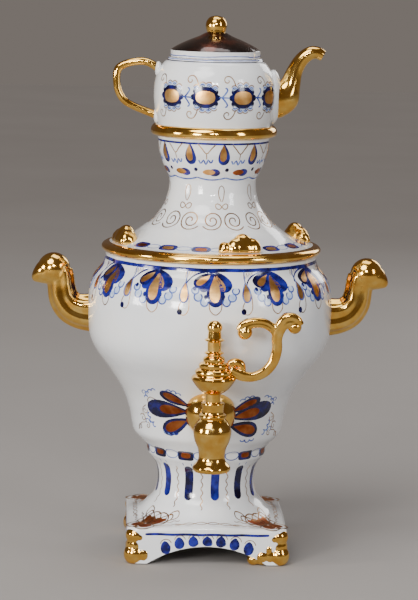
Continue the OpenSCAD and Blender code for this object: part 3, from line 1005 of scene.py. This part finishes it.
def stem_painting(cobalt, navy, line, copper, pen):
    """A chain of links round the waist, and upright bars with wavering threads between them."""
    band_level = waist_skin.level(urn_z - 1.4)
    for k in range(12):
        spot = Spot(waist_skin, 8 + 30 * k, band_level, loose=0.6)
        navy.fill(spot, oval(12.4, 8, square=5), 1)
        copper.fill(spot, oval(7.4, 4.4, square=3), 2)
        gap = Spot(waist_skin, 23 + 30 * k, band_level + 0.4, loose=0.6)
        line.draw(gap, ringed(oval(10.8, 7.4, square=2.1)), 0.36, 1)
        tone = (cobalt, navy)[k % 2]
        bar = Spot(stem_skin, 8.5 + 30 * k, stem_skin.level(urn_z - 10.4), loose=0.7)
        tone.draw(bar, smooth([(0, 0), (0.2, -9), (-0.1, -18), (0, -27)]), 3.2, 1)
        thread = Spot(stem_skin, 23.4 + 30 * k, stem_skin.level(urn_z - 11.6), loose=1)
        pen.draw(thread, wavy(33, 0.85, 5.5), 0.36)
        for side in (1, -1):
            line.draw(bar, [(side * 3.1, 0.6), (side * 3.4, 3.4)], 0.3)


def plinth_painting(cobalt, navy, line, amber, pen):
    """Drops over each arch under a blue line, and a gold leaf bow in each corner of the top."""
    for side in range(4):
        x = np.linspace(-45.5, 45.5, 50)
        top = 22.9 + 0.15 * np.sin(x * 0.3 + side)
        cobalt.draw(WallSpot(side, 0, 0, loose=0), rows_of(x, top), 0.95, step=2)
        for k in range(-3, 4):
            place = 10.4 * k
            tall = 7.4 + 0.9 * abs(k)
            spot = WallSpot(side, place, arch_top(place) + tall + 0.4, -k * 3)
            cobalt.fill(spot, drop(tall, 7.4, 0.35), 1)
            line.draw(spot, [(3.2, -3.8), (3.8, -6.4), (1.4, -7.2)], 0.4)
            pen.draw(spot, arc((0.6, -3), 4.2, 10, 165), 0.3)
        for end in (-1, 1):
            leafy = TopSpot(side, end * 45, -plinth_w / 2 + 15, loose=0.6, flip=end)
            for length, width, turn, x0, y0 in (
                    (12, 6, -98, -0.6, -0.4), (10, 5, 80, 1, 0), (8, 5, -150, 0.4, 1)):
                a = math.radians(turn)
                spin = np.array([[math.cos(a), -math.sin(a)], [math.sin(a), math.cos(a)]]) * DEEP
                amber.fill(leafy, leaf(length, width) @ spin.T + (x0, y0), 1)
                wide = leaf(length * 1.35, width * 1.5) @ spin.T + (x0, y0)
                pen.draw(leafy, ringed(wide), 0.4, 2)
            curl = [(-13, 1), (-18, 5.4), (-24, 4.4), (-23, 0.4), (-17, -0.6), (-12, 0.6)]
            pen.draw(leafy, smooth(curl), 0.34)
            for shift in (0, 5):
                edge = TopSpot(side, end * (52 - shift), -20, flip=end, loose=0.3)
                pen.draw(edge, wavy(20, 0.8, 3.5), 0.32)
        for phase in (0, math.pi):
            x = np.linspace(-24, 24, 50)
            y = 1.4 * np.sin(x * 0.34 + phase)
            pen.draw(TopSpot(side, 0, -plinth_w / 2 + 6.4, loose=0), rows_of(x, y), 0.3)


# ---- painting on the crown


def crown_painting():
    """A chain between the studs, pen spirals on the skirt, and drops round the cup."""
    cobalt, navy, line = paints("crown", "crown", "cobalt", "navy", "blue_lines")
    gold, copper, pen = paints("crown", "crown", "gold", "copper", "pen")
    chain = skirt_skin.level(crown_z + 9.3)
    for quarter in range(4):
        stud_angle = crown_turn + 90 * quarter
        for link in range(3):
            angle = stud_angle + 24 + 21.3 * link
            spot = Spot(skirt_skin, angle, chain, loose=0.7)
            cobalt.fill(spot, oval(14, 9, square=3), 1)
            (gold, copper)[(link + quarter) % 2].fill(spot, oval(8.6, 5.4, square=2.6), 2)
            for lift in (-1, 1):
                tie = np.array([(6.2, 0.6), (9, 2.6), (12.4, 3), (15.6, 2.4), (18.4, 0.6)]) * (1, lift)
                line.draw(spot, smooth(tie), 0.36)
            line.draw(spot, [(-8.4, 0.6), (-6.2, 0.9)], 0.36)

    mid = skirt_skin.level(crown_z + 27.5)
    for pair in range(8):
        centre = 9.4 + 45 * pair
        for side in (-1, 1):
            spot = Spot(skirt_skin, centre + side * 11.2, mid, flip=-side, loose=0.7)
            curl = spiral(2.0, 9.2, start=-2.6)
            curl[:, 0] *= 0.9
            pen.draw(spot, curl, 0.48)
        bow = Spot(skirt_skin, centre, skirt_skin.level(crown_z + 37.5), loose=0.8)
        for side in (-1, 1):
            ear = np.array([(0, 0), (2.6, 2.2), (4.6, 1.4), (4, -1.4), (1.6, -2), (0, 0)]) * (side, 1)
            pen.draw(bow, smooth(ear), 0.38)
        loop = [(-0.2, 3.6), (-1.9, 8), (-1.8, 13), (0, 15.6), (2, 13.4), (1.9, 8), (0.4, 3.6)]
        pen.draw(bow, smooth(loop), 0.32)

    top = cup_skin.level(crown_z + 83.6)
    for level, sag, half, paint, shift in (
            (top, 0, 0.9, cobalt, 0), (cup_skin.level(crown_z + 58.4), 2, 0.6, line, -4)):
        span = 2 * math.pi * cup_skin.radius(level) / 10
        for k in range(10):
            x = np.linspace(-span / 2, span / 2, 12)
            y = -sag * (1 - (2 * x / span) ** 2)
            spot = Spot(cup_skin, shift + 36 * k, level, loose=0)
            paint.draw(spot, rows_of(x, y), half)
    for k in range(10):
        angle = 9 + 36 * k
        spot = Spot(cup_skin, angle, top, loose=0.6)
        cobalt.fill(spot, drop(16, 8.8, 0.9, at=(0.2, -0.2)), 1)
        gold.fill(spot, drop(12.8, 5, 0.9, at=(-0.5, -0.7)), 2)
        cobalt.fill(spot, oval(2.8, 2.6, at=(2, -14)), 2)
        side = Spot(cup_skin, angle + 18, top, loose=0.6)
        pen.draw(side, smooth([(-6.6, -0.6), (-3.4, -4), (0, -7.6), (3.4, -4), (6.6, -0.6)]), 0.42)
        pen.draw(side, [(0, -7.4), (0, -12)], 0.36)
        squiggle = [
            (-6, -12.6), (-4.4, -15.4), (-2.4, -12.6), (-0.6, -16), (1.2, -12.4), (3, -15), (4.6, -12)]
        line.draw(side, smooth(squiggle), 0.6)
    low = cup_skin.level(crown_z + 62.4)
    for k in range(10):
        spot = Spot(cup_skin, -4 + 36 * k, low, loose=0.5)
        cobalt.fill(spot, oval(8.4, 6.2, at=(2.2, -0.2)), 1)
        (gold if k % 3 == 0 else copper).fill(spot, leaf(9.4, 4.8) @ SIDEWAYS + (-6.6, 0), 2)
        navy.fill(Spot(cup_skin, 14 + 36 * k, low + 2.2, loose=0.5), oval(2.8, 3), 1)
    for paint in (cobalt, navy, line, gold, copper, pen):
        paint.finish()


# ---- painting on the teapot


def teapot_painting():
    """A belt of gold medallions with scalloped edges, left out under the spout and the handle."""
    navy, line, wash = paints("teapot", "teapot", "navy", "blue_lines", "wash")
    gold, pen = paints("teapot", "teapot", "gold", "pen")
    level = teapot_skin.level(teapot_z + 28.5)
    for k in range(10):
        angle = -10.7 + 36 * k
        if abs((angle % 360) - 90) < 14 or abs((angle % 360) - 270) < 8:
            continue
        spot = Spot(teapot_skin, angle, level, loose=0.6)
        for high, chain, start in ((1, (-7, -2.4, 2.4, 7), 20), (-1, (-6.4, -2.2, 2.2, 6.4), 200)):
            for x in chain:
                y = high * (9.2 - 0.05 * x * x)
                wash.fill(spot, oval(4.4, 5, at=(x, y)), 1)
                pen.draw(spot, arc((x, y), 2.5, start, start + 140), 0.36, 3)
                line.draw(spot, arc((x, y - high * 0.9), 1.7, start, start + 140), 0.42, 2)
        for turn in range(10):
            a = 2 * math.pi * turn / 10
            navy.fill(spot, oval(4.6, 4.6, at=(9 * math.cos(a), 7.2 * math.sin(a))), 1)
        navy.fill(spot, oval(19.4, 15.8), 2)
        gold.fill(spot, oval(14.6, 9.8, square=2.4), 3)
        sprig = Spot(teapot_skin, angle + 18, level, loose=0.6)
        for turn in (-1, 1):
            line.draw(sprig, smooth([(-2, 0), (0, 2 * turn), (2.2, 5.6 * turn), (0.4, 7 * turn)]), 0.6)
        line.draw(sprig, [(-4, 0.2), (3.8, -0.2)], 0.52)
        for high in (1, -1):
            curl = Spot(teapot_skin, angle - 15, level + high * 12.4)
            path = spiral(1.05, 3.8, start=0.6) * (1, high)
            tail = smooth([(6, -high * 3.8), (4.8, -high * 0.4), tuple(path[0])])
            pen.draw(curl, np.concatenate([tail[:-1], path]), 0.4)
    for z, half, paint in ((teapot_rim_z - 2, 0.5, navy), (teapot_rim_z - 0.6, 0.3, line)):
        for quarter in range(4):
            spot = Spot(teapot_skin, 90 * quarter, teapot_skin.level(z), loose=0)
            reach = teapot_skin.radius(spot.along) * math.pi / 4
            paint.draw(spot, [(-reach - 0.3, 0), (0, 0), (reach + 0.3, 0)], half, step=1.5)
    for paint in (navy, line, wash, gold, pen):
        paint.finish()


def collar(name, x, z, radii):
    """A small white collar where a gilt piece is luted on, at height z of the teapot."""
    part = ball((x, 0, teapot_z + z), radii)
    cast(name, [part], GLAZE, "teapot", voxel=0.5, passes=2, slot="porcelain")


def lid_pieces():
    """The white edge of the dark lid, with a blue line round it."""
    edge = raised([(32.4, 0.1), (33.0, 0.1), (33.3, 4.9), (32.6, 5.2)], lid_z)
    turned_piece("lid_edge_glaze", edge, GLAZE, "lid", "porcelain")
    line = Paint("lid", "blue_lines", "lid")
    skin = Skin(edge[1:3])
    for quarter in range(4):
        spot = Spot(skin, 90 * quarter, skin.level(lid_z + 1.7), loose=0)
        reach = 33.2 * math.pi / 4
        x = np.linspace(-reach - 0.3, reach + 0.3, 30)
        line.draw(spot, rows_of(x, 0.4 * np.sin(x * 0.12 + quarter)), 0.34)
    line.finish()


urn_painting()
crown_painting()
teapot_painting()
lid_pieces()
collar("spout_collar", 43, 27.5, (6.4, 13, 20))
collar("ear_collar_top", -42, 45.9, (2.6, 6, 6))
collar("ear_collar_low", -42.4, 12.1, (2.6, 6, 6))

# ---- studio


def floor():
    mesh = bpy.data.meshes.new("floor")
    size = 6
    corners = [(-size, -size, 0), (size, -size, 0), (size, size, 0), (-size, size, 0)]
    mesh.from_pydata(corners, [], [(0, 1, 2, 3)])
    plane = new_object("floor", mesh)
    material = new_material("floor_paper", roughness=0.9, specular_ior_level=0.1)
    colour_from(material, 3, [(0.3, (0.285, 0.27, 0.26)), (0.7, (0.30, 0.285, 0.275))])
    mesh.materials.append(material)


def new_light(name, kind, power, colour, way, at=(0, 0, 0)):
    """A light at one point, shining one way."""
    light = bpy.data.lights.new(name, kind)
    light.energy = power
    light.color = colour
    lamp = new_object(name, light)
    lamp.location = at
    lamp.rotation_euler = Vector(way).to_track_quat("-Z", "Y").to_euler()
    return light


def softbox(name, at, size, power, colour=(1, 1, 1)):
    """A lit panel that faces the middle of the object."""
    middle = Vector((0, 0, 0.2))
    light = new_light(name, "AREA", power, colour, middle - Vector(at), at)
    light.shape = "RECTANGLE"
    light.size, light.size_y = size


def world():
    """A pale wall for the camera, and a dim warm room for everything that is lit or mirrors it."""
    scene_world = bpy.data.worlds.new("room")
    bpy.context.scene.world = scene_world
    scene_world.use_nodes = True
    nodes, links = scene_world.node_tree.nodes, scene_world.node_tree.links
    room = nodes["Background"]
    room.inputs["Color"].default_value = (0.12, 0.09, 0.075, 1)
    wall = nodes.new("ShaderNodeBackground")
    wall.inputs["Color"].default_value = (0.186, 0.164, 0.148, 1)
    seen = nodes.new("ShaderNodeLightPath")
    mix = nodes.new("ShaderNodeMixShader")
    links.new(seen.outputs["Is Camera Ray"], mix.inputs[0])
    links.new(room.outputs["Background"], mix.inputs[1])
    links.new(wall.outputs["Background"], mix.inputs[2])
    links.new(mix.outputs["Shader"], nodes["World Output"].inputs["Surface"])


def camera():
    """Nearly level with the shoulder of the urn, a little above and to the left of the tap."""
    azimuth, pitch, roll, field = (math.radians(a) for a in (-2.2, 7.9, 1.36, 13))
    distance = 1.96427
    target = Vector((0, 0, 0.1885))
    near = math.cos(pitch)
    back = Vector((math.sin(azimuth) * near, -math.cos(azimuth) * near, math.sin(pitch)))
    right = Vector((math.cos(azimuth), math.sin(azimuth), 0))
    up = back.cross(right)
    level_right = right * math.cos(roll) + up * math.sin(roll)
    level_up = up * math.cos(roll) - right * math.sin(roll)
    data = bpy.data.cameras.new("camera")
    data.lens = data.sensor_width / 2 / math.tan(field / 2)
    data.shift_x = -0.0014
    eye = new_object("camera", data)
    turn = Matrix((level_right, level_up, back)).transposed()
    eye.matrix_world = Matrix.Translation(target + back * distance) @ turn.to_4x4()
    bpy.context.scene.camera = eye


floor()
world()
camera()
DAYLIGHT = (1, 0.98, 0.95)
sky = new_light("sky", "SUN", 2.1, DAYLIGHT, (0.45, 0.75, -1))
sky.angle = math.radians(34)
softbox("window_left", (-0.85, -1.34, 0.5), (0.3, 0.34), 16, DAYLIGHT)
softbox("window_side", (-1.5, -0.5, 0.45), (0.3, 0.36), 9, DAYLIGHT)
softbox("window_right", (1.3, -1.1, 0.8), (0.3, 0.7), 9, (0.95, 0.97, 1))
softbox("lamp_left", (-0.16, -1.75, 0.95), (0.12, 0.15), 4)
softbox("lamp_right", (0.07, -1.8, 0.95), (0.1, 0.12), 3)
softbox("top", (0.1, 0.2, 1.6), (1.0, 0.7), 7)
softbox("rim", (0.9, 1.3, 0.8), (0.6, 0.8), 6)
